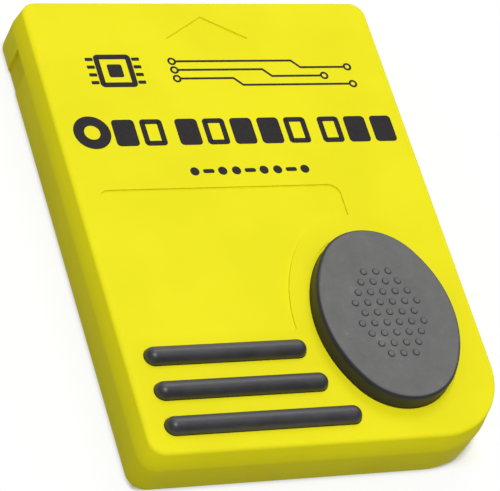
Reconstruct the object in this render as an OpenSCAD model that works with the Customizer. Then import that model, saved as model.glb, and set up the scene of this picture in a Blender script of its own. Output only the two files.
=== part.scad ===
// Console memory card: a moulded case in two shells, a rubber thumb pad and three grip strips
// let into its upper face, and inside it a circuit board with contact strips and its chips.
// X runs across the card, +Y points to the contact end that goes into the console, Z is up.
// The card lies flat on Z = 0, with the origin under its middle.

/* [Case] */
// Width of the case
case_w = 42; // [40:0.5:50]
// Length of the case, from the grip end to the contact end
case_l = 56.7; // [54:0.1:70]
// Thickness of the closed case, without the rubber parts
case_t = 7.2; // [7:0.1:10]
// Height of the joint between the two shells, and of the latch notches
joint_z = 4.35; // [4.1:0.05:4.6]
// Plan radius of the three small corners
corner_r = 2.1; // [2:0.1:3.5]
// Plan radius of the large corner beside the thumb pad
grip_corner_r = 8.6; // [5:0.1:11]
// Thickness of the side walls at the joint
wall_t = 1.2; // [1.1:0.05:1.5]
// Thickness of the roof and the floor
skin_t = 1.2; // [1:0.05:1.4]
// Distance the upper shell's walls lean in between the joint and the edge radius
top_lean = 0.35; // [0.05:0.01:0.45]
// Distance the lower shell's walls lean in between the joint and the edge radius
bottom_lean = 0.04; // [0.02:0.01:0.2]
// Radius along the upper edge
top_edge_r = 0.5; // [0.4:0.1:1.2]
// Radius along the lower edge
bottom_edge_r = 1; // [0.4:0.1:1.2]

/* [Joint lip] */
// Height of the tongue that locates the upper shell on the lower one
lip_h = 0.8; // [0.5:0.1:1.2]
// Thickness of the tongue
lip_t = 0.5; // [0.3:0.05:0.6]
// Clearance between the tongue and its rebate
lip_gap = 0.08; // [0.04:0.01:0.15]

/* [Latch notches] */
// Distance from the contact end to the notch in each side
notch_from_end = 4.5; // [3:0.1:8]
// Length of each notch along the card
notch_l = 3.2; // [2:0.1:5]
// Depth of each notch
notch_d = 0.4; // [0.2:0.05:0.6]

/* [Label recess and arrow] */
// Distance from the left side to the label recess
label_from_side = 2.8; // [2:0.1:5]
// Distance from the contact end to the label recess
label_from_end = 24.9; // [20:0.1:30]
// Width of the label recess
label_w = 28; // [20:0.5:32]
// Length of the label recess
label_l = 17.8; // [10:0.2:19]
// Corner radius of the label recess
label_r = 1.3; // [0.5:0.1:3]
// Depth of the label recess and of the arrow
mark_d = 0.2; // [0.1:0.05:0.3]
// Width of the insertion arrow
arrow_w = 10; // [6:0.5:14]
// Length of the insertion arrow
arrow_l = 3; // [2:0.1:5]
// Distance from the contact end to the tip of the arrow
arrow_from_end = 2.4; // [2:0.1:5]

/* [Thumb pad] */
// Distance from the right side to the middle of the pad
pad_from_side = 11.5; // [11:0.1:14]
// Distance from the grip end to the middle of the pad
pad_from_end = 14.3; // [14:0.1:20]
// Width of the oval pad
pad_w = 15.7; // [12:0.1:17]
// Length of the oval pad
pad_l = 20.9; // [16:0.1:22]
// Height of the pad above the upper face
pad_h = 1.9; // [1:0.1:2.5]
// Radius round the pad's upper edge, at its ends
pad_edge_r = 0.5; // [0.2:0.05:0.8]
// Depth to which the rubber parts are let into the case
seat_d = 0.6; // [0.3:0.05:0.7]
// Clearance round the rubber parts in their pockets
seat_gap = 0.05; // [0.02:0.01:0.1]
// Width of the shallow step round the pad
pad_step_w = 0.35; // [0.2:0.05:0.6]
// Depth of the shallow step round the pad
pad_step_d = 0.15; // [0.1:0.05:0.25]
// Width of the thicker patch of roof round the pad's pocket
pad_patch_w = 1.2; // [0.8:0.1:1.5]

/* [Grip strips] */
// Width of each half-round strip
strip_w = 2.1; // [1.6:0.1:2.6]
// Spacing of the strips
strip_pitch = 4.05; // [3.4:0.05:4.4]
// Distance from the grip end to the middle of the first strip
strip_from_end = 3.4; // [3:0.1:5]
// Distance from the left side to the ends of the strips
strip_from_side = 2.5; // [2:0.1:4]
// Size of the clear oval round the pad, as a multiple of the pad
halo = 1.29; // [1.2:0.01:1.4]

/* [Circuit board] */
// Thickness of the board
board_t = 1; // [0.6:0.1:1.2]
// Height of the board's underside above the table
board_z = 2.6; // [2.3:0.05:2.8]
// Clearance between the board's edge and the side walls
board_gap = 0.6; // [0.4:0.05:0.8]
// Width of the ledges that carry the board's sides
ledge_w = 1.2; // [0.9:0.1:1.6]
// Length of the ledges that carry the board's sides
ledge_l = 16; // [8:1:22]

/* [Contacts] */
// Width of each contact strip
contact_w = 2; // [1.2:0.1:2.2]
// Length of each contact strip
contact_l = 5.6; // [4:0.1:7]
// Thickness of each contact strip
contact_t = 0.1; // [0.05:0.05:0.2]
// Spacing of the contact strips within a group
contact_pitch = 3.1; // [2.6:0.05:3.2]
// Extra spacing where a rib divides two groups
rib_extra = 1.5; // [1.2:0.1:1.8]
// Thickness of the ribs that divide the contact windows
rib_t = 1.4; // [1:0.1:1.6]
// Distance the windows reach back from the contact end
window_l = 8.4; // [8:0.1:11]
// Distance from the board's edge to the contact strips
contact_inset = 0.3; // [0.1:0.1:0.6]

/* [Locating pins] */
// Radius of the pins that line up the shells and the board
pin_r = 0.9; // [0.6:0.05:1]
// Radius of the posts under the board
post_r = 1.7; // [1.5:0.1:1.9]
// Clearance of the pins in the upper shell's bosses
pin_gap = 0.03; // [0.02:0.01:0.08]
// Clearance of the pins in the board's holes
board_hole_gap = 0.15; // [0.1:0.05:0.3]
// Height of the pins above the board
pin_reach = 1.4; // [1:0.1:1.6]
// Distance from the sides to the pins
pin_from_side = 4.6; // [4.4:0.1:6]
// Distance from the contact end to the rear pins
pin_from_end = 12; // [11.5:0.5:15]

/* [Chips] */
// Distance from the contact end to the middle of the memory chip
flash_from_end = 22.5; // [22:0.5:24]
// Length of the memory chip's moulding
flash_l = 18.4; // [14:0.2:20]
// Width of the memory chip's moulding
flash_w = 12; // [8:0.5:12]
// Thickness of the memory chip's moulding
flash_t = 1; // [0.8:0.1:1.2]
// Number of leads on each end of the memory chip
flash_leads_n = 24; // [12:2:26]
// Spacing of the memory chip's leads
flash_pitch = 0.5; // [0.4:0.05:0.5]
// Distance from the left side and from the grip end to the middle of the controller chip
control_from_corner = 14; // [12:0.5:15]
// Side of the square controller chip's moulding
control_w = 10; // [7:0.5:12]
// Thickness of the controller chip's moulding
control_t = 1.2; // [1:0.1:1.4]
// Number of leads on each side of the controller chip
control_leads_n = 11; // [6:1:12]
// Spacing of the controller chip's leads
control_pitch = 0.8; // [0.5:0.05:0.8]
// Height of the mouldings above the board
chip_lift = 0.1; // [0.05:0.05:0.15]
// Reach of a lead beyond its moulding
lead_reach = 0.9; // [0.6:0.1:1.1]
// Length of the foot that is soldered to the board
lead_foot = 0.5; // [0.3:0.05:0.55]
// Thickness of the lead frame
lead_t = 0.13; // [0.1:0.01:0.16]
// Width of a lead
lead_w = 0.22; // [0.15:0.01:0.3]

/* [Small components] */
// Length, width and height of the clock resonator
resonator_size = [6, 2.6, 1.1]; // [0.5:0.05:7]
// Length, width and height of each capacitor
capacitor_size = [2, 1.25, 0.85]; // [0.5:0.05:3]
// Length, width and height of each resistor
resistor_size = [1.6, 0.8, 0.5]; // [0.3:0.05:3]
// Spacing of the small components in their rows
small_pitch = 3; // [2.4:0.1:3.2]
// Share of a small component's length covered by each metal end
end_cap = 0.22; // [0.15:0.01:0.3]
// Thickness of the metal ends over the ceramic
end_cap_t = 0.1; // [0.05:0.05:0.15]
// Clearance between the controller chip's leads and the small components
small_gap = 1; // [0.8:0.1:1.4]

/* [Hidden] */
$fn = 64;
CONTACTS = 8;
RIBS_AFTER = [2, 5];
CAPACITORS = 5;
RESISTORS = 3;

CASE_YELLOW = [0.94, 0.91, 0.05];
RUBBER_GREY = [0.36, 0.37, 0.37];
BOARD_GREEN = [0.08, 0.33, 0.18];
CHIP_BLACK = [0.08, 0.08, 0.09];
LEAD_TIN = [0.75, 0.75, 0.73];
CONTACT_GOLD = [0.88, 0.69, 0.28];
CERAMIC_TAN = [0.72, 0.58, 0.42];

// Overlap of a cutter past the face that it cuts, and of a boss into the skin that carries it
past = 1;
root = 0.3;

// Half sizes of the case, and the reach of its four sides from the middle: right, far, left, near
half_w = case_w / 2;
half_l = case_l / 2;
reach = [half_w, half_l, half_w, half_l];
half_side = [half_l, half_w, half_l, half_w];
radii = [grip_corner_r, corner_r, corner_r, corner_r];

// Depth of the wall section that is swept round the plan, which stops short of the middle of the
// small corners, and the inset of the plates of roof and floor, which reach into that section
corner_core_r = 0.3;
sweep_d = corner_r - corner_core_r;
plate_inset = sweep_d - root;

// Levels inside the case
board_top = board_z + board_t;
ceiling_z = case_t - skin_t;
pin_top = board_top + pin_reach;
window_top = board_z - contact_t;

// Middle of the thumb pad
pad_x = half_w - pad_from_side;
pad_y = -half_l + pad_from_end;

// Middle of the large corner, and the four locating pins: two behind, two at the grip end
grip_x = half_w - grip_corner_r;
grip_y = -half_l + grip_corner_r;
pin_x = half_w - pin_from_side;
PINS = [[pin_x, half_l - pin_from_end], [-pin_x, half_l - pin_from_end], [-pin_x, grip_y], [grip_x, grip_y]];

// The contacts stand in three groups with a rib between them
board_end_y = half_l - wall_t - board_gap;
contact_span = (CONTACTS - 1) * contact_pitch + len(RIBS_AFTER) * rib_extra;
function ribs_before(i) = len([for (r = RIBS_AFTER) if (i > r) r]);
function contact_x(i) = -contact_span / 2 + (i - 1) * contact_pitch + ribs_before(i) * rib_extra;
RIB_X = [for (r = RIBS_AFTER) (contact_x(r) + contact_x(r + 1)) / 2];
WINDOWS = [
  [contact_x(1) - contact_pitch / 2, RIB_X[0] - rib_t / 2],
  [RIB_X[0] + rib_t / 2, RIB_X[1] - rib_t / 2],
  [RIB_X[1] + rib_t / 2, contact_x(CONTACTS) + contact_pitch / 2]];

// Places of the components on the board
flash_y = half_l - flash_from_end;
control_x = -half_w + control_from_corner;
control_y = -half_l + control_from_corner;
control_reach = control_w / 2 + lead_reach + small_gap;
resonator_x = control_x + control_reach + resonator_size[0] / 2;
resonator_y = control_y + control_w / 2;

// Middle of corner k of the plan, counted from the grip corner round to the left
function corner_at(k) =
  let (u = reach[k] - radii[k], v = -(half_side[k] - radii[k]))
  [u * cos(90 * k) - v * sin(90 * k), u * sin(90 * k) + v * cos(90 * k)];

// Plan of the case, drawn in by a given distance
module case_plan(inset) {
  polygon([for (k = [0:3]) each [
    corner_at(k) + (radii[k] - inset) * [cos(90 * k - 90), sin(90 * k - 90)],
    corner_at(k) + (radii[k] - inset) * [cos(90 * k), sin(90 * k)]]]);
  for (k = [0:3]) translate(corner_at(k)) circle(radii[k] - inset);
}

// Sweeps a wall section round the plan. In the section, X = 0 is the outer face at the joint.
module sweep_round_plan() {
  for (k = [0:3]) {
    next_r = radii[(k + 1) % 4];
    rotate([0, 0, 90 * k]) {
      translate([reach[k] - radii[k], radii[k] - half_side[k], 0])
        rotate([0, 0, -90]) rotate_extrude(angle = 90) translate([radii[k], 0]) children();
      translate([reach[k], half_side[k] - next_r, 0])
        rotate([90, 0, 0]) linear_extrude(2 * half_side[k] - radii[k] - next_r) children();
    }
  }
}

// Wall section of one shell of depth h, drawn from the joint upwards (way = 1) or downwards
// (way = -1). The outer face leans in and rounds over into the skin.
module wall_section(h, edge_r, lean, way) {
  edge_x = -lean - edge_r;
  edge_z = way * (h - edge_r);
  skin_z = way * (h - skin_t);
  difference() {
    union() {
      polygon([
        [-sweep_d, 0], [0, 0], [-lean, edge_z],
        [edge_x, edge_z], [edge_x, way * h], [-sweep_d, way * h]]);
      translate([edge_x, edge_z]) intersection() {
        circle(edge_r);
        polygon([[0, 0], [edge_r, 0], [edge_r, way * edge_r], [0, way * edge_r]]);
      }
    }
    polygon([
      [-sweep_d - past, -way * past], [-wall_t, -way * past], [-wall_t, 0],
      [-wall_t - lean, skin_z], [-sweep_d - past, skin_z]]);
  }
}

module top_wall_section() {
  difference() {
    wall_section(case_t - joint_z, top_edge_r, top_lean, 1);
    translate([-wall_t - past, -past]) square([past + lip_t + lip_gap, past + lip_h + lip_gap]);
  }
}

module bottom_wall_section() {
  wall_section(joint_z, bottom_edge_r, bottom_lean, -1);
  translate([-wall_t, -root]) square([lip_t, lip_h + root]);
}

// Notch in each side of the lower shell that the console's latch springs into
module latch_notches() {
  for (side = [-1, 1])
    translate([side * (half_w + past - notch_d), half_l - notch_from_end - notch_l / 2, joint_z / 2])
      cube([2 * past, notch_l, joint_z + 2 * past], center = true);
}

// The pad's oval is four arcs whose centres lie on 3-4-5 triangles, so that they meet smoothly:
// two ends of radius oval_end_r and two sides of radius oval_side_r
oval_unit = (pad_l - pad_w) / 4;
oval_end_c = 3 * oval_unit;
oval_side_c = 4 * oval_unit;
oval_end_r = pad_w / 2 - oval_unit;
oval_side_r = oval_end_r + 5 * oval_unit;
oval_meet = [4, 3] / 5;

// Depth of the section that is swept round the oval
oval_rim = oval_end_r / 2.5;

// Half width of the oval at a distance dy from its middle
function oval_half_w(dy) =
  let (d = min(abs(dy), pad_l / 2))
  d < oval_side_r * oval_meet[1]
    ? sqrt(pow(oval_side_r, 2) - pow(d, 2)) - oval_side_c
    : sqrt(pow(oval_end_r, 2) - pow(d - oval_end_c, 2));

// Sweeps a section of height h round the oval, widened by grow. In the section, X = 0 is the
// outline. Each arc is cut from half a turn, along the lines through two of the centres.
module sweep_round_oval(grow, h) {
  far = 4 * oval_unit * [4, 3] + [0, oval_end_c];
  for (turn = [0, 180]) rotate([0, 0, turn]) {
    intersection() {
      translate([-oval_side_c, 0, 0]) rotate([0, 0, -90]) rotate_extrude(angle = 180)
        translate([oval_side_r + grow, 0]) children();
      translate([0, 0, -past]) linear_extrude(h + 2 * past)
        polygon([[-oval_side_c, 0], [far[0], -far[1]], far]);
    }
    intersection() {
      translate([0, oval_end_c, 0]) rotate_extrude(angle = 180)
        translate([oval_end_r + grow, 0]) children();
      translate([0, 0, -past]) linear_extrude(h + 2 * past)
        polygon([[0, oval_end_c], far, [-far[0], far[1]]]);
    }
  }
}

// Fills the middle of an oval with an eight-sided plate whose corners lie halfway into its rim
module oval_middle(grow, h) {
  inset = grow - oval_rim / 2;
  side = [pad_w / 2 + inset, 0];
  tip = [0, pad_l / 2 + inset];
  meet = (oval_side_r + inset) * oval_meet - [oval_side_c, 0];
  linear_extrude(h) polygon([
    side, meet, tip, [-meet[0], meet[1]], -side, -meet, -tip, [meet[0], -meet[1]]]);
}

module oval_plate(grow, h) {
  sweep_round_oval(grow, h) translate([-oval_rim, 0]) square([oval_rim, h]);
  oval_middle(grow, h);
}

// Strips are counted from the label recess towards the grip end
function strip_y(i) = -half_l + strip_from_end + (3 - i) * strip_pitch;
function strip_x0() = -half_w + strip_from_side;
function strip_x1(i) = pad_x - halo * oval_half_w((strip_y(i) - pad_y) / halo);

// Plan of a strip's pocket or foot, with round ends
module strip_plan(i, r) {
  x0 = strip_x0() + strip_w / 2;
  x1 = strip_x1(i) - strip_w / 2;
  translate([x0, strip_y(i) - r]) square([x1 - x0, 2 * r]);
  for (x = [x0, x1]) translate([x, strip_y(i)]) circle(r);
}

module label_recess() {
  x0 = -half_w + label_from_side;
  y1 = half_l - label_from_end;
  difference() {
    translate([0, 0, case_t - mark_d]) linear_extrude(mark_d + past) {
      polygon([
        [x0, y1 - label_l], [x0 + label_w, y1 - label_l],
        [x0 + label_w, y1 - label_r], [x0 + label_w - label_r, y1],
        [x0 + label_r, y1], [x0, y1 - label_r]]);
      for (x = [x0 + label_r, x0 + label_w - label_r]) translate([x, y1 - label_r]) circle(label_r);
    }
    translate([pad_x, pad_y, case_t - mark_d - past]) scale(halo) oval_plate(0, mark_d + 3 * past);
  }
}

module insertion_arrow() {
  tip_y = half_l - arrow_from_end;
  translate([0, 0, case_t - mark_d]) linear_extrude(mark_d + past)
    polygon([[0, tip_y], [-arrow_w / 2, tip_y - arrow_l], [arrow_w / 2, tip_y - arrow_l]]);
}

// Pockets for the thumb pad and the grip strips, and the shallow step round the pad
module rubber_pockets() {
  translate([pad_x, pad_y, case_t - seat_d]) oval_plate(seat_gap, seat_d + past);
  translate([pad_x, pad_y, case_t - pad_step_d]) oval_plate(pad_step_w, pad_step_d + past);
  for (i = [1:3])
    translate([0, 0, case_t - seat_d]) linear_extrude(seat_d + past) strip_plan(i, strip_w / 2 + seat_gap);
}

// Upper shell: roof, walls, a thicker patch under the pad, bosses that press the board on its
// posts, and a rib that backs the contacts
module top_shell() {
  color(CASE_YELLOW) difference() {
    union() {
      sweep_round_plan() translate([0, joint_z]) top_wall_section();
      translate([0, 0, ceiling_z]) linear_extrude(skin_t) case_plan(plate_inset);
      translate([pad_x, pad_y, ceiling_z - seat_d]) oval_plate(pad_patch_w, seat_d + root);
      for (p = PINS)
        translate([p[0], p[1], board_top]) cylinder(r = post_r, h = ceiling_z - board_top + root);
      translate([-contact_span / 2, board_end_y - contact_l, board_top])
        cube([contact_span, skin_t, ceiling_z - board_top + root]);
    }
    for (p = PINS)
      translate([p[0], p[1], board_top - past])
        cylinder(r = pin_r + pin_gap, h = past + pin_reach + pin_gap);
    rubber_pockets();
    label_recess();
    insertion_arrow();
  }
}

// Lower shell: floor, walls with the joint's tongue, windows under the contacts, ribs between
// them, ledges and posts that carry the board
module bottom_shell() {
  color(CASE_YELLOW) {
    difference() {
      union() {
        sweep_round_plan() translate([0, joint_z]) bottom_wall_section();
        linear_extrude(skin_t) case_plan(plate_inset);
        for (side = [-1, 1])
          translate([side * (half_w - wall_t - ledge_w / 2 + root / 2), 0, board_z / 2 + root / 2])
            cube([ledge_w + root, ledge_l, board_z - root], center = true);
      }
      for (w = WINDOWS)
        translate([w[0], half_l - window_l, -past])
          cube([w[1] - w[0], window_l + past, window_top + past]);
      latch_notches();
    }
    for (x = RIB_X)
      translate([x - rib_t / 2, half_l - window_l, skin_t - root])
        cube([rib_t, window_l - wall_t, board_z - skin_t + root]);
    for (p = PINS) translate([p[0], p[1], skin_t - root]) {
      cylinder(r = post_r, h = board_z - skin_t + root);
      cylinder(r = pin_r, h = pin_top - skin_t + root);
    }
  }
}

// Oval rubber pad for the thumb, flat on top with a rounded edge
module thumb_pad() {
  h = seat_d + pad_h;
  color(RUBBER_GREY) translate([pad_x, pad_y, case_t - seat_d]) {
    sweep_round_oval(0, h) {
      polygon([
        [-oval_rim, 0], [0, 0], [0, h - pad_edge_r],
        [-pad_edge_r, h - pad_edge_r], [-pad_edge_r, h], [-oval_rim, h]]);
      translate([-pad_edge_r, h - pad_edge_r]) intersection() {
        circle(pad_edge_r);
        square(pad_edge_r);
      }
    }
    oval_middle(0, h);
  }
}

// Section of a strip: a foot in the pocket and a half round above the face
module strip_section() {
  translate([-strip_w / 2, -seat_d]) square([strip_w, seat_d]);
  intersection() {
    circle(strip_w / 2);
    translate([-strip_w / 2, 0]) square([strip_w, strip_w / 2]);
  }
}

// Half-round rubber strip with ball ends
module grip_strip(i) {
  x0 = strip_x0() + strip_w / 2;
  run = strip_x1(i) - strip_w / 2 - x0;
  color(RUBBER_GREY) translate([x0, strip_y(i), case_t]) {
    rotate([90, 0, 90]) linear_extrude(run) strip_section();
    for (end = [0, 1])
      translate([end * run, 0, 0]) rotate([0, 0, 90 - end * 180]) rotate_extrude(angle = 180)
        intersection() {
          strip_section();
          translate([0, -strip_w]) square(2 * strip_w);
        }
  }
}
module grip_strip_1() { grip_strip(1); }
module grip_strip_2() { grip_strip(2); }
module grip_strip_3() { grip_strip(3); }

module circuit_board() {
  color(BOARD_GREEN) translate([0, 0, board_z]) difference() {
    linear_extrude(board_t) case_plan(wall_t + board_gap);
    for (p = PINS)
      translate([p[0], p[1], -past]) cylinder(r = pin_r + board_hole_gap, h = board_t + 2 * past);
  }
}

// Flat gold-plated strip on the board's underside, that a spring in the console wipes along
module contact_strip(i) {
  color(CONTACT_GOLD)
    translate([contact_x(i) - contact_w / 2, board_end_y - contact_inset - contact_l, window_top])
      cube([contact_w, contact_l, contact_t]);
}

// One gull-wing lead, drawn from the moulding's side outwards along +X, foot on the board
module lead(moulding_t) {
  knee_z = chip_lift + moulding_t / 2;
  heel = lead_reach - lead_foot;
  rotate([90, 0, 0]) translate([0, 0, -lead_w / 2]) linear_extrude(lead_w) polygon([
    [0, knee_z - lead_t], [heel / 2, knee_z - lead_t], [heel - lead_t, 0], [lead_reach, 0],
    [lead_reach, lead_t], [heel, lead_t], [heel / 2 + lead_t, knee_z], [0, knee_z]]);
}

// Row of leads along one side of a moulding, n of them at a given pitch
module lead_row(n, pitch, side, moulding_t) {
  for (i = [0:n - 1])
    translate([side, (i - (n - 1) / 2) * pitch, 0]) lead(moulding_t);
}

module chip_moulding(l, w, t) {
  translate([-l / 2, -w / 2, chip_lift]) cube([l, w, t]);
}

module memory_chip() {
  color(CHIP_BLACK) translate([0, flash_y, board_top]) chip_moulding(flash_l, flash_w, flash_t);
}

module memory_chip_leads() {
  color(LEAD_TIN) translate([0, flash_y, board_top])
    for (turn = [0, 180]) rotate([0, 0, turn]) lead_row(flash_leads_n, flash_pitch, flash_l / 2, flash_t);
}

module controller_chip() {
  color(CHIP_BLACK) translate([control_x, control_y, board_top]) chip_moulding(control_w, control_w, control_t);
}

module controller_chip_leads() {
  color(LEAD_TIN) translate([control_x, control_y, board_top])
    for (turn = [0:90:270])
      rotate([0, 0, turn]) lead_row(control_leads_n, control_pitch, control_w / 2, control_t);
}

// Ceramic block with a slightly larger metal cap on each end, long side along X
module chip_component(size) {
  cap_l = size[0] * end_cap;
  translate([-size[0] / 2 + cap_l, -size[1] / 2 + end_cap_t, 0])
    cube([size[0] - 2 * cap_l, size[1] - 2 * end_cap_t, size[2] - end_cap_t]);
  for (x = [-size[0] / 2, size[0] / 2 - cap_l])
    translate([x, -size[1] / 2, 0]) cube([cap_l, size[1], size[2]]);
}

module clock_resonator() {
  color(CERAMIC_TAN) translate([resonator_x, resonator_y, board_top]) chip_component(resonator_size);
}

module capacitors() {
  color(CERAMIC_TAN) for (i = [1:CAPACITORS])
    translate([resonator_x, resonator_y - i * small_pitch, board_top]) chip_component(capacitor_size);
}

module resistors() {
  color(CHIP_BLACK) for (i = [1:RESISTORS])
    translate([control_x + (i - (RESISTORS + 1) / 2) * small_pitch, control_y - control_reach, board_top])
      chip_component(resistor_size);
}

top_shell();
bottom_shell();
thumb_pad();
grip_strip_1();
grip_strip_2();
grip_strip_3();
circuit_board();
for (i = [1:CONTACTS]) contact_strip(i);
memory_chip();
memory_chip_leads();
controller_chip();
controller_chip_leads();
clock_resonator();
capacitors();
resistors();
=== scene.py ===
import math

import bmesh
import bpy
from mathutils import Matrix, Quaternion, Vector


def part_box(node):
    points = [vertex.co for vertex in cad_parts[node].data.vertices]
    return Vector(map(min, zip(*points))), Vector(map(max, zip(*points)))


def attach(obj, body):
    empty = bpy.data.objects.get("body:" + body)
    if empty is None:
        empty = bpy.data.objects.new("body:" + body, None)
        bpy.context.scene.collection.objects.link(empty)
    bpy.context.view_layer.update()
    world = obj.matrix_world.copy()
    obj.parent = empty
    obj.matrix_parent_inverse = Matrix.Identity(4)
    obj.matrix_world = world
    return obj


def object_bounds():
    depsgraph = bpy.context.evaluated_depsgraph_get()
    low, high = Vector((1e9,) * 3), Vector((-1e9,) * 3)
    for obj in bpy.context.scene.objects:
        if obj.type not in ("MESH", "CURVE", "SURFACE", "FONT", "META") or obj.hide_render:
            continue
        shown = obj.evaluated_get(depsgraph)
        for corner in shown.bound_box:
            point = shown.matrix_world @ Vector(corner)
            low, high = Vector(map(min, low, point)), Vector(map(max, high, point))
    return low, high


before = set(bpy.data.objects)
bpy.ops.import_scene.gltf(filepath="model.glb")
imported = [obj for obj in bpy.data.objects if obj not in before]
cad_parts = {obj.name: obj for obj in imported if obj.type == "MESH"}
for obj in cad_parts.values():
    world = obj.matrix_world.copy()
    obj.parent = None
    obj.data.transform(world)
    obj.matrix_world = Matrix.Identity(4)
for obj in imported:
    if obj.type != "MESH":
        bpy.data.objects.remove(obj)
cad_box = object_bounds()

# Case. The two shells are moulded in yellow ABS with a fine satin grain, and pressed together a
# little above the middle of the walls. The plastic is coloured all through, so the finish has
# only slight clouds of tone. The walls are crowned, the upper one more than the lower.
MM = 0.001
ABS_YELLOW = (0.88, 0.81, 0.0035, 1)
ABS_YELLOW_DEEP = (0.84, 0.775, 0.0025, 1)
JOINT_Z = 4.35 * MM
UPPER_CROWN, LOWER_CROWN = 0.8 * MM, 0.12 * MM
UPPER_CROWN_POWER = 1.8

face_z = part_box("top_shell")[1].z


def new_finish(name):
    """A material with its node tree, its shader and the object coordinates that it reads."""
    material = bpy.data.materials.new(name)
    material.use_nodes = True
    tree = material.node_tree
    place = tree.nodes.new("ShaderNodeTexCoord").outputs["Object"]
    return material, tree, tree.nodes["Principled BSDF"], place


def noise(tree, place, grain, detail=3, roughness=0.5):
    """Noise whose spots are about as wide as grain, in metres."""
    node = tree.nodes.new("ShaderNodeTexNoise")
    for key, value in (("Scale", 1 / grain), ("Detail", detail), ("Roughness", roughness)):
        node.inputs[key].default_value = value
    tree.links.new(place, node.inputs["Vector"])
    return node.outputs["Fac"]


def tones(tree, factor, *stops):
    """Colours laid out along a factor. Each stop is (place along the factor, colour)."""
    node = tree.nodes.new("ShaderNodeValToRGB")
    ramp = node.color_ramp
    ramp.elements[0].position, ramp.elements[0].color = stops[0]
    ramp.elements[1].position, ramp.elements[1].color = stops[-1]
    for position, colour in stops[1:-1]:
        ramp.elements.new(position).color = colour
    tree.links.new(factor, node.inputs["Fac"])
    return node.outputs["Color"]


def spread(tree, factor, low, high, start=0.3, end=0.7, shape="LINEAR"):
    """A factor's range from start to end, spread over low to high."""
    node = tree.nodes.new("ShaderNodeMapRange")
    node.interpolation_type = shape
    for key, value in (("From Min", start), ("From Max", end), ("To Min", low), ("To Max", high)):
        node.inputs[key].default_value = value
    tree.links.new(factor, node.inputs["Value"])
    return node.outputs["Result"]


def feed(tree, term, socket):
    """Gives a socket a fixed value, or links another node's output to it."""
    if isinstance(term, bpy.types.NodeSocket):
        tree.links.new(term, socket)
    else:
        socket.default_value = term


def reckon(tree, operation, *terms):
    """A sum, power or the like of numbers and other nodes' outputs."""
    node = tree.nodes.new("ShaderNodeMath")
    node.operation = operation
    for term, socket in zip(terms, node.inputs):
        feed(tree, term, socket)
    return node.outputs["Value"]


def axes(tree, vector):
    """The X, Y and Z of a vector, by name."""
    node = tree.nodes.new("ShaderNodeSeparateXYZ")
    tree.links.new(vector, node.inputs["Vector"])
    return node.outputs


def relief(tree, onto, height, depth, strength):
    """Relief of a depth in metres, from a height factor, onto a shader or a finer relief."""
    node = tree.nodes.new("ShaderNodeBump")
    node.inputs["Strength"].default_value = strength
    node.inputs["Distance"].default_value = depth
    tree.links.new(height, node.inputs["Height"])
    tree.links.new(node.outputs["Normal"], onto.inputs["Normal"])
    return node


def colour_and_gloss(tree, shader, colour, roughness):
    """Links a finish's colour and its roughness to the shader."""
    tree.links.new(colour, shader.inputs["Base Color"])
    tree.links.new(roughness, shader.inputs["Roughness"])


def put_finish(names, material):
    """Gives CAD nodes a finish in their own material slots."""
    for name in names:
        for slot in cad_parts[name].material_slots:
            slot.material = material


case_abs, tree, shader, place = new_finish("satin_yellow_abs")
clouds = noise(tree, place, grain=9 * MM, detail=2)
satin = noise(tree, place, grain=1.5 * MM)
colour_and_gloss(
    tree, shader,
    colour=tones(tree, clouds, (0.35, ABS_YELLOW_DEEP), (0.65, ABS_YELLOW)),
    roughness=spread(tree, satin, low=0.6, high=0.68),
)
shader.inputs["Specular IOR Level"].default_value = 0.2
mould_grain = noise(tree, place, grain=0.12 * MM, detail=2)
fine = relief(tree, shader, mould_grain, depth=0.01 * MM, strength=0.25)

# The crown is how far the upper wall falls back above the joint, and the lower wall above and
# below its middle.
height = axes(tree, place)["Z"]
rise = spread(tree, height, low=0, high=1, start=JOINT_Z, end=face_z)
upper = reckon(tree, "POWER", rise, UPPER_CROWN_POWER)
belly = spread(tree, height, low=-1, high=1, start=0, end=JOINT_Z)
lower = reckon(tree, "MULTIPLY", belly, belly)
fall = reckon(tree, "MULTIPLY_ADD", lower, LOWER_CROWN / UPPER_CROWN, upper)
relief(tree, fine, fall, depth=UPPER_CROWN, strength=1).invert = True
put_finish(["top_shell", "bottom_shell"], case_abs)

# Thumb pad. Oval disc of grey thermoplastic rubber, moulded with its edge rounded and glued in
# its pocket. Where its face turns up, the rubber is coloured pale and mottled as a painted sheen
# of the soft light on it; the rounded edge and the side keep the rubber's own smooth dark grey.
# The pale top tones are a painted sheen; the side colour is the rubber's own dark grey.
RUBBER_TOP_SHEEN = (0.152, 0.153, 0.15, 1)
RUBBER_TOP_SHEEN_DARK = (0.126, 0.127, 0.125, 1)
RUBBER_SHEEN_SPECK = (0.2, 0.201, 0.198, 1)
RUBBER_SIDE = (0.03, 0.03, 0.036, 1)


def blend(tree, factor, first, second, kind="RGBA"):
    """Blend of two colours, or of two numbers where kind is FLOAT."""
    node = tree.nodes.new("ShaderNodeMix")
    node.data_type = kind
    for key, term in (("Factor", factor), ("A", first), ("B", second)):
        feed(tree, term, node.inputs[key])
    return node.outputs["Result"]


pad_rubber, tree, shader, place = new_finish("grey_rubber_painted_top_sheen")
mottle = noise(tree, place, grain=2.6 * MM, detail=6, roughness=0.75)
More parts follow.
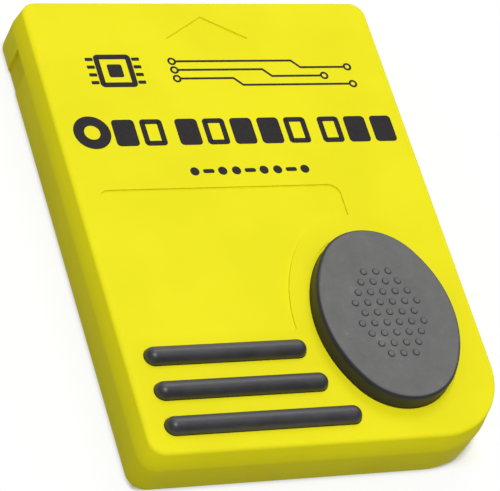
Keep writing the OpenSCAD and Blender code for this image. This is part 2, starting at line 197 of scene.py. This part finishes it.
# Pale mottled tones wherever the normal faces up, a painted sheen on the top face and the dots.
painted_top_sheen = tones(tree, mottle, (0.3, RUBBER_TOP_SHEEN_DARK), (0.6, RUBBER_TOP_SHEEN), (0.72, RUBBER_SHEEN_SPECK))
facing = tree.nodes.new("ShaderNodeTexCoord").outputs["Normal"]
painted_sheen_mask = spread(tree, axes(tree, facing)["Z"], low=0, high=1, start=0.8, end=0.97)
colour_and_gloss(
    tree, shader,
    colour=blend(tree, painted_sheen_mask, RUBBER_SIDE, painted_top_sheen),
    roughness=spread(tree, painted_sheen_mask, low=0.5, high=0.72, start=0, end=1),
)
shader.inputs["Specular IOR Level"].default_value = 0.35
blast_grain = noise(tree, place, grain=0.16 * MM, detail=4)
relief(tree, shader, blast_grain, depth=0.03 * MM, strength=0.35)
put_finish(["thumb_pad"], pad_rubber)

# Grip dots. The middle of the pad carries low round dots, moulded with it, that keep a thumb
# from slipping. They stand in staggered rows inside an oval.
DOT_R, DOT_H, DOT_SINK = 0.42 * MM, 0.14 * MM, 0.03 * MM
DOT_PITCH = 1.45 * MM
DOT_ROW_PITCH = DOT_PITCH * math.sqrt(3) / 2
DOTS_HALF_W, DOTS_HALF_L = 4.2 * MM, 5.6 * MM


def new_piece(name, bm, material):
    """Makes a finished bmesh into a piece of the object."""
    mesh = bpy.data.meshes.new(name)
    bm.to_mesh(mesh)
    bm.free()
    mesh.materials.append(material)
    piece = bpy.data.objects.new(name, mesh)
    bpy.context.scene.collection.objects.link(piece)
    return piece


pad_low, pad_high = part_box("thumb_pad")
pad_middle = (pad_low + pad_high) / 2
half_rows = math.ceil(DOTS_HALF_L / DOT_ROW_PITCH)
half_columns = math.ceil(DOTS_HALF_W / DOT_PITCH)
grip_dots = bmesh.new()
for row in range(-half_rows, half_rows + 1):
    for column in range(-half_columns, half_columns + 1):
        x = (column + row % 2 / 2) * DOT_PITCH
        y = row * DOT_ROW_PITCH
        if math.hypot(x / DOTS_HALF_W, y / DOTS_HALF_L) > 1:
            continue
        centre = Matrix.Translation((pad_middle.x + x, pad_middle.y + y, pad_high.z - DOT_SINK))
        dome = centre @ Matrix.Diagonal((DOT_R, DOT_R, DOT_H + DOT_SINK, 1))
        bmesh.ops.create_uvsphere(grip_dots, u_segments=20, v_segments=12, radius=1, matrix=dome)
pad_dots = new_piece("thumb_pad_dots", grip_dots, pad_rubber)
pad_dots.data.shade_smooth()
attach(pad_dots, "root")

# Grip strips. Three half-round strips of the same rubber, pressed into slots so that a thumb
# can hold the card. They come smooth out of the mould, with a soft shine.
STRIP_RUBBER = (0.036, 0.036, 0.042, 1)
STRIP_RUBBER_DARK = (0.028, 0.028, 0.033, 1)

strip_rubber, tree, shader, place = new_finish("smooth_grey_rubber")
patches = noise(tree, place, grain=1.8 * MM, detail=4)
colour_and_gloss(
    tree, shader,
    colour=tones(tree, patches, (0.35, STRIP_RUBBER_DARK), (0.65, STRIP_RUBBER)),
    roughness=spread(tree, patches, low=0.4, high=0.48),
)
shader.inputs["Specular IOR Level"].default_value = 0.7
relief(tree, shader, noise(tree, place, grain=0.3 * MM), depth=0.02 * MM, strength=0.2)
put_finish(["grip_strip_1", "grip_strip_2", "grip_strip_3"], strip_rubber)

# Circuit board. Glass-fibre board under a green solder mask, which shows through the windows
# of the lower shell. The copper under the mask gives it faint lighter bands.
MASK_GREEN = (0.012, 0.095, 0.035, 1)
MASK_GREEN_PALE = (0.02, 0.14, 0.05, 1)

board_mask, tree, shader, place = new_finish("green_solder_mask")
copper = noise(tree, place, grain=3 * MM, detail=1)
colour_and_gloss(
    tree, shader,
    colour=tones(tree, copper, (0.48, MASK_GREEN), (0.52, MASK_GREEN_PALE)),
    roughness=spread(tree, copper, low=0.24, high=0.34),
)
relief(tree, shader, copper, depth=0.03 * MM, strength=0.3)
put_finish(["circuit_board"], board_mask)

# Contact strips. Copper strips on the underside of the board, plated with nickel and gold. The
# springs of the console wipe along them and leave fine lines.
GOLD = (0.83, 0.58, 0.19, 1)
GOLD_WORN = (0.74, 0.5, 0.17, 1)
WIPE_STRETCH = (1, 0.04, 1)

contact_gold, tree, shader, place = new_finish("gold_plating")
wipe = tree.nodes.new("ShaderNodeMapping")
wipe.inputs["Scale"].default_value = WIPE_STRETCH
tree.links.new(place, wipe.inputs["Vector"])
lines = noise(tree, wipe.outputs["Vector"], grain=0.15 * MM)
colour_and_gloss(
    tree, shader,
    colour=tones(tree, lines, (0.4, GOLD_WORN), (0.6, GOLD)),
    roughness=spread(tree, lines, low=0.2, high=0.34),
)
shader.inputs["Metallic"].default_value = 1
relief(tree, shader, lines, depth=0.005 * MM, strength=0.3)
put_finish([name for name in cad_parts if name.startswith("contact_strip_")], contact_gold)

# Chips and resistors. The chips are moulded in black epoxy with a dull, slightly sandy face,
# blank on top. The resistors are small soldered blocks under a black glaze, which looks much
# the same.
EPOXY = (0.012, 0.012, 0.013, 1)
EPOXY_PALE = (0.02, 0.02, 0.021, 1)

chip_epoxy, tree, shader, place = new_finish("black_epoxy")
sand = noise(tree, place, grain=0.2 * MM, detail=4)
colour_and_gloss(
    tree, shader,
    colour=tones(tree, sand, (0.4, EPOXY), (0.6, EPOXY_PALE)),
    roughness=spread(tree, sand, low=0.5, high=0.65),
)
relief(tree, shader, sand, depth=0.02 * MM, strength=0.4)
put_finish(["memory_chip", "controller_chip", "resistors"], chip_epoxy)

# Leads. Thin copper legs of the two chips, with a dull tin plating. They are bent down to the
# board and soldered to it.
TIN = (0.6, 0.6, 0.58, 1)
TIN_DULL = (0.46, 0.46, 0.45, 1)

lead_tin, tree, shader, place = new_finish("tinned_copper")
flow = noise(tree, place, grain=0.4 * MM)
colour_and_gloss(
    tree, shader,
    colour=tones(tree, flow, (0.35, TIN_DULL), (0.65, TIN)),
    roughness=spread(tree, flow, low=0.3, high=0.45),
)
shader.inputs["Metallic"].default_value = 1
put_finish(["memory_chip_leads", "controller_chip_leads"], lead_tin)

# Clock resonator and capacitors. Small blocks of fired ceramic, tan and slightly glassy. They
# are soldered to the board too.
CERAMIC = (0.48, 0.31, 0.16, 1)
CERAMIC_DARK = (0.38, 0.24, 0.12, 1)

ceramic, tree, shader, place = new_finish("tan_ceramic")
fired = noise(tree, place, grain=0.3 * MM, detail=4)
colour_and_gloss(
    tree, shader,
    colour=tones(tree, fired, (0.4, CERAMIC_DARK), (0.6, CERAMIC)),
    roughness=spread(tree, fired, low=0.3, high=0.42),
)
put_finish(["clock_resonator", "capacitors"], ceramic)

# Print. Black ink pad-printed on the upper face, in a film a few hundredths of a millimetre
# thick: a chip sign with conductor tracks beside it, a row of memory cells and a row of spots
# and dashes. Places and sizes on the face are in millimetres.
INK = (0.021, 0.018, 0.02, 1)
INK_THIN = (0.03, 0.026, 0.028, 1)
INK_TOP, INK_BED = 0.02 * MM, 0.01 * MM

ink, tree, shader, place = new_finish("black_print_ink")
film = noise(tree, place, grain=0.5 * MM, detail=4)
colour_and_gloss(
    tree, shader,
    colour=tones(tree, film, (0.4, INK), (0.65, INK_THIN)),
    roughness=spread(tree, film, low=0.55, high=0.7),
)
shader.inputs["Specular IOR Level"].default_value = 0.12


def cut_out(bm, face, rim_w):
    """Leaves only a rim of a flat face."""
    bmesh.ops.inset_region(bm, faces=[face], thickness=rim_w * MM, use_boundary=True)
    bmesh.ops.delete(bm, geom=[face], context="FACES")


def bar(bm, x, y, width, height, corner, rim_w=0):
    """Flat bar with round corners about (x, y). rim_w leaves only its outline."""
    centre = Matrix.Translation((x * MM, y * MM, 0))
    size = Matrix.Diagonal((width * MM, height * MM, 1, 1))
    square = bmesh.ops.create_grid(bm, x_segments=1, y_segments=1, size=0.5, matrix=centre @ size)
    made = bmesh.ops.bevel(
        bm, geom=square["verts"], offset=corner * MM, offset_type="OFFSET", segments=5,
        profile=0.5, affect="VERTICES", material=-1,
    )
    if rim_w:
        cut_out(bm, made["verts"][0].link_faces[0], rim_w)


def disc(bm, x, y, radius, hole=0):
    """Flat disc about (x, y), or a ring where it has a hole."""
    centre = Matrix.Translation((x * MM, y * MM, 0))
    rim = bmesh.ops.create_circle(bm, cap_ends=True, segments=40, radius=radius * MM, matrix=centre)
    if hole:
        cut_out(bm, rim["verts"][0].link_faces[0], radius - hole)


def track(bm, points, width):
    """Conductor track along points, as one ribbon with mitred bends."""
    points = [Vector(point) for point in points]
    runs = [(b - a).normalized() for a, b in zip(points, points[1:])]
    rims = ([], [])
    for i, point in enumerate(points):
        before, after = runs[max(i - 1, 0)], runs[min(i, len(runs) - 1)]
        across = Vector((-before.y - after.y, before.x + after.x)).normalized()
        mitre = width / 2 / across.dot(Vector((-before.y, before.x)))
        for rim, way in zip(rims, (-1, 1)):
            rim.append(bm.verts.new((point + way * mitre * across).to_3d() * MM))
    bm.faces.new(rims[0] + rims[1][::-1])


def print_film(name, bm):
    """Lays flat shapes on the face as a film of ink, with its bed a little way into the face."""
    bmesh.ops.translate(bm, verts=bm.verts, vec=(0, 0, face_z - INK_BED))
    film = bmesh.ops.extrude_face_region(bm, geom=bm.faces[:])["geom"]
    top = [vert for vert in film if isinstance(vert, bmesh.types.BMVert)]
    bmesh.ops.translate(bm, verts=top, vec=(0, 0, INK_BED + INK_TOP))
    bmesh.ops.recalc_face_normals(bm, faces=bm.faces)
    piece = new_piece(name, bm, ink)
    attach(piece, "root")


# Chip sign. It is printed left of the insertion arrow: a square outline with a die in the middle
# and four legs on each of two sides.
SIGN_X, SIGN_Y = -12, 18.7
SIGN_BODY, SIGN_CORNER, SIGN_RIM = 4.3, 0.5, 0.62
DIE, DIE_CORNER = 1.7, 0.25
LEGS, LEG_L, LEG_W, LEG_CORNER = 4, 0.9, 0.42, 0.1
LEG_OUT, LEG_PITCH = 0.55, 1.02

sign = bmesh.new()
bar(sign, SIGN_X, SIGN_Y, SIGN_BODY, SIGN_BODY, SIGN_CORNER, SIGN_RIM)
bar(sign, SIGN_X, SIGN_Y, DIE, DIE, DIE_CORNER)
for side in (-1, 1):
    leg_x = SIGN_X + side * (SIGN_BODY / 2 + LEG_OUT)
    for leg in range(LEGS):
        leg_y = SIGN_Y + (leg - (LEGS - 1) / 2) * LEG_PITCH
        bar(sign, leg_x, leg_y, LEG_L, LEG_W, LEG_CORNER)
print_film("print_chip_sign", sign)

# Conductor tracks. Three thin lines beside the chip sign step down to the right and end in small
# rings. Each lane has its left end, the place of its step and its right end.
LANES = ((-4.6, 9.2, 15.4), (-4.6, 5.4, 12.2), (-4.6, 1.6, 15.4))
FIRST_LANE_Y, LANE_PITCH, LANE_STEP = 19.9, 1.15, 0.92
TRACK_W = 0.26
RING_R, RING_HOLE = 0.5, 0.26

tracks = bmesh.new()
for lane, (left, bend, right) in enumerate(LANES):
    y = FIRST_LANE_Y - lane * LANE_PITCH
    low_y = y - LANE_STEP
    track(tracks, [(left, y), (bend, y), (bend + LANE_STEP, low_y), (right, low_y)], TRACK_W)
    disc(tracks, left - RING_R, y, RING_R, RING_HOLE)
    disc(tracks, right + RING_R, low_y, RING_R, RING_HOLE)
print_film("print_tracks", tracks)

# Memory cells. Bold blocks in three groups, some full and some open, after one round mark. Each
# group has the place of its first cell and a 1 for each full cell.
CELL_GROUPS = ((-13.05, "10"), (-5.75, "10110"), (11.2, "011"))
CELL_W, CELL_H, CELL_GAP, CELL_CORNER, CELL_RIM = 2.6, 3.4, 0.62, 0.45, 0.62
CELL_Y = 10.6
MARK_X, MARK_Y, MARK_R, MARK_HOLE = -16.8, 10.7, 2.1, 0.9

cells = bmesh.new()
disc(cells, MARK_X, MARK_Y, MARK_R, MARK_HOLE)
for first_x, pattern in CELL_GROUPS:
    for i, cell in enumerate(pattern):
        x = first_x + i * (CELL_W + CELL_GAP)
        bar(cells, x, CELL_Y, CELL_W, CELL_H, CELL_CORNER, rim_w=0 if cell == "1" else CELL_RIM)
print_film("print_memory_cells", cells)

# Spots and dashes. A row of small spots under the cells, with a dash in place of the middle one
# of each three.
ROW_N, ROW_Y, ROW_PITCH = 9, 5.5, 1.62
DASH_W, DASH_H, DASH_CORNER = 1.3, 0.5, 0.2
SPOT_R = 0.52

spots = bmesh.new()
for i in range(ROW_N):
    x = (i - (ROW_N - 1) / 2) * ROW_PITCH
    if i % 3 == 1:
        bar(spots, x, ROW_Y, DASH_W, DASH_H, DASH_CORNER)
    else:
        disc(spots, x, ROW_Y, SPOT_R)
print_film("print_dots", spots)

# Floor. A white studio floor, which keeps the card's shadow. The camera and reflections see it
# glow, except under the card, where the glow starts a little way inside the outline.
FLOOR_SIZE = 6
FLOOR_GREY = (0.34, 0.34, 0.34, 1)
FLOOR_GLOW = 0.75
GLOW_INSET, GLOW_RAMP = 1.2 * MM, 1 * MM
WHITE = (1, 1, 1, 1)

bpy.ops.mesh.primitive_plane_add(size=FLOOR_SIZE)
floor = bpy.context.object
floor.name = "floor"
floor_paint, tree, shader, place = new_finish("white_floor")
shader.inputs["Roughness"].default_value = 1
shader.inputs["Specular IOR Level"].default_value = 0
rays = tree.nodes.new("ShaderNodeLightPath").outputs
seen = reckon(tree, "MAXIMUM", rays["Is Camera Ray"], rays["Is Glossy Ray"])
tree.links.new(blend(tree, seen, FLOOR_GREY, WHITE), shader.inputs["Base Color"])
# The glow's start is found from the larger of two distances, across the card and along it
where = axes(tree, place)
past_side, past_end = (
    reckon(tree, "SUBTRACT", reckon(tree, "ABSOLUTE", where[axis]), half - GLOW_INSET)
    for axis, half in (("X", cad_box[1].x), ("Y", cad_box[1].y))
)
past = reckon(tree, "MAXIMUM", past_side, past_end)
clear = spread(tree, past, low=0, high=FLOOR_GLOW, start=0, end=GLOW_RAMP)
glow = tree.nodes.new("ShaderNodeEmission")
lit = tree.nodes.new("ShaderNodeMixShader")
tree.links.new(reckon(tree, "MULTIPLY", clear, seen), lit.inputs["Fac"])
tree.links.new(shader.outputs["BSDF"], lit.inputs[1])
tree.links.new(glow.outputs["Emission"], lit.inputs[2])
tree.links.new(lit.outputs["Shader"], tree.nodes["Material Output"].inputs["Surface"])
floor.data.materials.append(floor_paint)

# World. It is white to the camera, plain and dim as a light, and in reflections it is white
# behind the object and dark overhead, as in a studio with a paper sweep and a dark ceiling.
WORLD_LEVEL = 0.37
CEILING_LEVEL = 0.12
SWEEP_WAY = (0.33, 0.87, 0.36)
SWEEP_STARTS, SWEEP_FULL = 0.55, 0.75

world = bpy.data.worlds.new("studio")
bpy.context.scene.world = world
world.use_nodes = True
tree = world.node_tree
rays = tree.nodes.new("ShaderNodeLightPath").outputs
seen = reckon(tree, "MAXIMUM", rays["Is Camera Ray"], rays["Is Transmission Ray"])
behind = tree.nodes.new("ShaderNodeVectorMath")
behind.operation = "DOT_PRODUCT"
tree.links.new(tree.nodes.new("ShaderNodeTexCoord").outputs["Generated"], behind.inputs[0])
behind.inputs[1].default_value = SWEEP_WAY
sweep = spread(
    tree, behind.outputs["Value"], low=CEILING_LEVEL, high=1, start=SWEEP_STARTS, end=SWEEP_FULL,
    shape="SMOOTHSTEP",
)
reflected = blend(tree, rays["Is Glossy Ray"], WORLD_LEVEL, sweep, kind="FLOAT")
level = blend(tree, seen, reflected, 1, kind="FLOAT")
background = tree.nodes["Background"]
tree.links.new(level, background.inputs["Strength"])
background.inputs["Color"].default_value = WHITE


# Lamps. A soft square lamp almost overhead, a little to the camera's side, lights the face and
# the near walls. A weak one behind the card gives the rubber strips their line of shine.
def soft_lamp(name, place, size, watts):
    """Square lamp that points at the card."""
    light = bpy.data.lights.new(name, "AREA")
    light.size = size
    light.energy = watts
    lamp = bpy.data.objects.new(name, light)
    lamp.location = place
    lamp.rotation_euler = Vector(place).to_track_quat("Z", "Y").to_euler()
    bpy.context.scene.collection.objects.link(lamp)


soft_lamp("overhead_lamp", place=(-0.12, -0.12, 1.2), size=0.3, watts=8)
soft_lamp("back_lamp", place=(0.33, 0.68, 0.8), size=0.4, watts=2)

# Camera. It looks down on the card from beyond its grip end and to its left, and is turned
# about its own axis, as the card stands askew in the picture.
AZIMUTH, ELEVATION, ROLL = math.radians(-41.91), math.radians(48.95), math.radians(32.02)
DISTANCE = 0.3268
LOOK_AT = Vector((-1.02 * MM, -1.93 * MM, 4 * MM))
FOCAL_PIXELS, PICTURE_W, SENSOR_W = 3103.6, 500, 36

back = Vector((
    math.sin(AZIMUTH) * math.cos(ELEVATION),
    -math.cos(AZIMUTH) * math.cos(ELEVATION),
    math.sin(ELEVATION),
))
lens = bpy.data.cameras.new("camera")
lens.sensor_width = SENSOR_W
lens.lens = FOCAL_PIXELS / PICTURE_W * SENSOR_W
lens.clip_start = 0.01
camera = bpy.data.objects.new("camera", lens)
camera.location = LOOK_AT + back * DISTANCE
camera.rotation_euler = (back.to_track_quat("Z", "Y") @ Quaternion((0, 0, 1), ROLL)).to_euler()
bpy.context.scene.collection.objects.link(camera)
bpy.context.scene.camera = camera
bpy.context.scene.view_settings.view_transform = "Standard"
